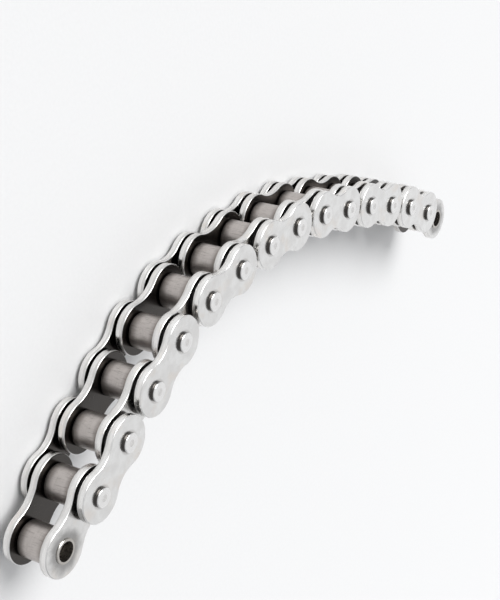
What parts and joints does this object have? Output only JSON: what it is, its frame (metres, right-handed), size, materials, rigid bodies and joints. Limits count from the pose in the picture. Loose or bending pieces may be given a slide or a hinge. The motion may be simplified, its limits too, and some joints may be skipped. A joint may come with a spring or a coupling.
{
  "type": "roller chain",
  "caption": "Cut length of sealed roller chain: waisted inner and outer plates, riveted pins, pressed bushes, free-turning rollers and rubber seal rings, curved as over a large wheel.",
  "frame": {"origin": "bottom centre of the box round the whole length at rest, on the surface that the pins' lower ends stand on", "axes": "+Z along the pins, across the chain's width; +X along the length of the curve; +Y towards the outside of the bend"},
  "size_m": [0.2328, 0.0614, 0.0228],
  "materials": {
    "outer_plate": "bright nickel plate over blanked steel, lightly brushed",
    "inner_plate": "bright nickel plate over blanked steel, lightly brushed",
    "pin": "ground steel, riveted ends",
    "bush": "hardened ground steel",
    "roller": "hardened steel, warm grey, satin",
    "seal": "black nitrile rubber, oiled"
  },
  "bodies": {
    "link_01_body": {"link_01_inner_plates": "inner_plate", "link_01_bushes": "bush"},
    "link_02_body": {"link_02_outer_plate_lower": "outer_plate", "link_02_outer_plate_upper": "outer_plate", "link_02_pins": "pin", "link_02_seal_rings": "seal"},
    "link_03_body": {"link_03_inner_plates": "inner_plate", "link_03_bushes": "bush"},
    "link_04_body": {"link_04_outer_plate_lower": "outer_plate", "link_04_outer_plate_upper": "outer_plate", "link_04_pins": "pin", "link_04_seal_rings": "seal"},
    "link_05_body": {"link_05_inner_plates": "inner_plate", "link_05_bushes": "bush"},
    "link_06_body": {"link_06_outer_plate_lower": "outer_plate", "link_06_outer_plate_upper": "outer_plate", "link_06_pins": "pin", "link_06_seal_rings": "seal"},
    "link_07_body": {"link_07_inner_plates": "inner_plate", "link_07_bushes": "bush"},
    "link_08_body": {"link_08_outer_plate_lower": "outer_plate", "link_08_outer_plate_upper": "outer_plate", "link_08_pins": "pin", "link_08_seal_rings": "seal"},
    "link_09_body": {"link_09_inner_plates": "inner_plate", "link_09_bushes": "bush"},
    "link_10_body": {"link_10_outer_plate_lower": "outer_plate", "link_10_outer_plate_upper": "outer_plate", "link_10_pins": "pin", "link_10_seal_rings": "seal"},
    "link_11_body": {"link_11_inner_plates": "inner_plate", "link_11_bushes": "bush"},
    "link_12_body": {"link_12_outer_plate_lower": "outer_plate", "link_12_outer_plate_upper": "outer_plate", "link_12_pins": "pin", "link_12_seal_rings": "seal"},
    "link_13_body": {"link_13_inner_plates": "inner_plate", "link_13_bushes": "bush"},
    "link_14_body": {"link_14_outer_plate_lower": "outer_plate", "link_14_outer_plate_upper": "outer_plate", "link_14_pins": "pin", "link_14_seal_rings": "seal"},
    "link_15_body": {"link_15_inner_plates": "inner_plate", "link_15_bushes": "bush"},
    "roller_01_body": {"roller_01": "roller"},
    "roller_02_body": {"roller_02": "roller"},
    "roller_03_body": {"roller_03": "roller"},
    "roller_04_body": {"roller_04": "roller"},
    "roller_05_body": {"roller_05": "roller"},
    "roller_06_body": {"roller_06": "roller"},
    "roller_07_body": {"roller_07": "roller"},
    "roller_08_body": {"roller_08": "roller"},
    "roller_09_body": {"roller_09": "roller"},
    "roller_10_body": {"roller_10": "roller"},
    "roller_11_body": {"roller_11": "roller"},
    "roller_12_body": {"roller_12": "roller"},
    "roller_13_body": {"roller_13": "roller"},
    "roller_14_body": {"roller_14": "roller"},
    "roller_15_body": {"roller_15": "roller"},
    "roller_16_body": {"roller_16": "roller"}
  },
  "joints": [
    {"name": "link_hinge_02", "type": "hinge", "parent": "link_02_body", "child": "link_01_body", "pos_m": [-0.09601, -0.00617, 0.0114], "axis": [0, 0, -1], "range_deg": [-86, 94]},
    {"name": "link_hinge_03", "type": "hinge", "parent": "link_03_body", "child": "link_02_body", "pos_m": [-0.08248, 0.00212, 0.0114], "axis": [0, 0, 1], "range_deg": [-94, 86]},
    {"name": "link_hinge_04", "type": "hinge", "parent": "link_04_body", "child": "link_03_body", "pos_m": [-0.0684, 0.00945, 0.0114], "axis": [0, 0, -1], "range_deg": [-90, 90]},
    {"name": "link_hinge_05", "type": "hinge", "parent": "link_05_body", "child": "link_04_body", "pos_m": [-0.05431, 0.01678, 0.0114], "axis": [0, 0, 1], "range_deg": [-101, 79]},
    {"name": "link_hinge_06", "type": "hinge", "parent": "link_06_body", "child": "link_05_body", "pos_m": [-0.03909, 0.02129, 0.0114], "axis": [0, 0, -1], "range_deg": [-80, 100]},
    {"name": "link_hinge_07", "type": "hinge", "parent": "link_07_body", "child": "link_06_body", "pos_m": [-0.02332, 0.02309, 0.0114], "axis": [0, 0, 1], "range_deg": [-96, 84]},
    {"name": "link_hinge_08", "type": "hinge", "parent": "link_08_body", "child": "link_07_body", "pos_m": [-0.00745, 0.02323, 0.0114], "axis": [0, 0, -1], "range_deg": [-84, 96]},
    {"name": "link_hinge_09", "type": "hinge", "parent": "link_08_body", "child": "link_09_body", "pos_m": [0.00836, 0.02171, 0.0114], "axis": [0, 0, -1], "range_deg": [-96, 84]},
    {"name": "link_hinge_10", "type": "hinge", "parent": "link_09_body", "child": "link_10_body", "pos_m": [0.02391, 0.01854, 0.0114], "axis": [0, 0, 1], "range_deg": [-83, 97]},
    {"name": "link_hinge_11", "type": "hinge", "parent": "link_10_body", "child": "link_11_body", "pos_m": [0.03897, 0.0135, 0.0114], "axis": [0, 0, -1], "range_deg": [-92, 88]},
    {"name": "link_hinge_12", "type": "hinge", "parent": "link_11_body", "child": "link_12_body", "pos_m": [0.05384, 0.00795, 0.0114], "axis": [0, 0, 1], "range_deg": [-87, 93]},
    {"name": "link_hinge_13", "type": "hinge", "parent": "link_12_body", "child": "link_13_body", "pos_m": [0.0684, 0.00162, 0.0114], "axis": [0, 0, -1], "range_deg": [-94, 86]},
    {"name": "link_hinge_14", "type": "hinge", "parent": "link_13_body", "child": "link_14_body", "pos_m": [0.08248, -0.00572, 0.0114], "axis": [0, 0, 1], "range_deg": [-86, 94]},
    {"name": "link_hinge_15", "type": "hinge", "parent": "link_14_body", "child": "link_15_body", "pos_m": [0.09601, -0.01401, 0.0114], "axis": [0, 0, -1], "range_deg": [-94, 86]},
    {"name": "roller_spin_01", "type": "hinge", "parent": "link_01_body", "child": "roller_01_body", "pos_m": [-0.10894, -0.01539, 0.0114], "axis": [0, 0, 1], "continuous": true},
    {"name": "roller_spin_02", "type": "hinge", "parent": "link_01_body", "child": "roller_02_body", "pos_m": [-0.09601, -0.00617, 0.0114], "axis": [0, 0, 1], "continuous": true},
    {"name": "roller_spin_03", "type": "hinge", "parent": "link_03_body", "child": "roller_03_body", "pos_m": [-0.08248, 0.00212, 0.0114], "axis": [0, 0, 1], "continuous": true},
    {"name": "roller_spin_04", "type": "hinge", "parent": "link_03_body", "child": "roller_04_body", "pos_m": [-0.0684, 0.00945, 0.0114], "axis": [0, 0, 1], "continuous": true},
    {"name": "roller_spin_05", "type": "hinge", "parent": "link_05_body", "child": "roller_05_body", "pos_m": [-0.05431, 0.01678, 0.0114], "axis": [0, 0, 1], "continuous": true},
    {"name": "roller_spin_06", "type": "hinge", "parent": "link_05_body", "child": "roller_06_body", "pos_m": [-0.03909, 0.02129, 0.0114], "axis": [0, 0, 1], "continuous": true},
    {"name": "roller_spin_07", "type": "hinge", "parent": "link_07_body", "child": "roller_07_body", "pos_m": [-0.02332, 0.02309, 0.0114], "axis": [0, 0, 1], "continuous": true},
    {"name": "roller_spin_08", "type": "hinge", "parent": "link_07_body", "child": "roller_08_body", "pos_m": [-0.00745, 0.02323, 0.0114], "axis": [0, 0, 1], "continuous": true},
    {"name": "roller_spin_09", "type": "hinge", "parent": "link_09_body", "child": "roller_09_body", "pos_m": [0.00836, 0.02171, 0.0114], "axis": [0, 0, 1], "continuous": true},
    {"name": "roller_spin_10", "type": "hinge", "parent": "link_09_body", "child": "roller_10_body", "pos_m": [0.02391, 0.01854, 0.0114], "axis": [0, 0, 1], "continuous": true},
    {"name": "roller_spin_11", "type": "hinge", "parent": "link_11_body", "child": "roller_11_body", "pos_m": [0.03897, 0.0135, 0.0114], "axis": [0, 0, 1], "continuous": true},
    {"name": "roller_spin_12", "type": "hinge", "parent": "link_11_body", "child": "roller_12_body", "pos_m": [0.05384, 0.00795, 0.0114], "axis": [0, 0, 1], "continuous": true},
    {"name": "roller_spin_13", "type": "hinge", "parent": "link_13_body", "child": "roller_13_body", "pos_m": [0.0684, 0.00162, 0.0114], "axis": [0, 0, 1], "continuous": true},
    {"name": "roller_spin_14", "type": "hinge", "parent": "link_13_body", "child": "roller_14_body", "pos_m": [0.08248, -0.00572, 0.0114], "axis": [0, 0, 1], "continuous": true},
    {"name": "roller_spin_15", "type": "hinge", "parent": "link_15_body", "child": "roller_15_body", "pos_m": [0.09601, -0.01401, 0.0114], "axis": [0, 0, 1], "continuous": true},
    {"name": "roller_spin_16", "type": "hinge", "parent": "link_15_body", "child": "roller_16_body", "pos_m": [0.10894, -0.02323, 0.0114], "axis": [0, 0, 1], "continuous": true}
  ]
}
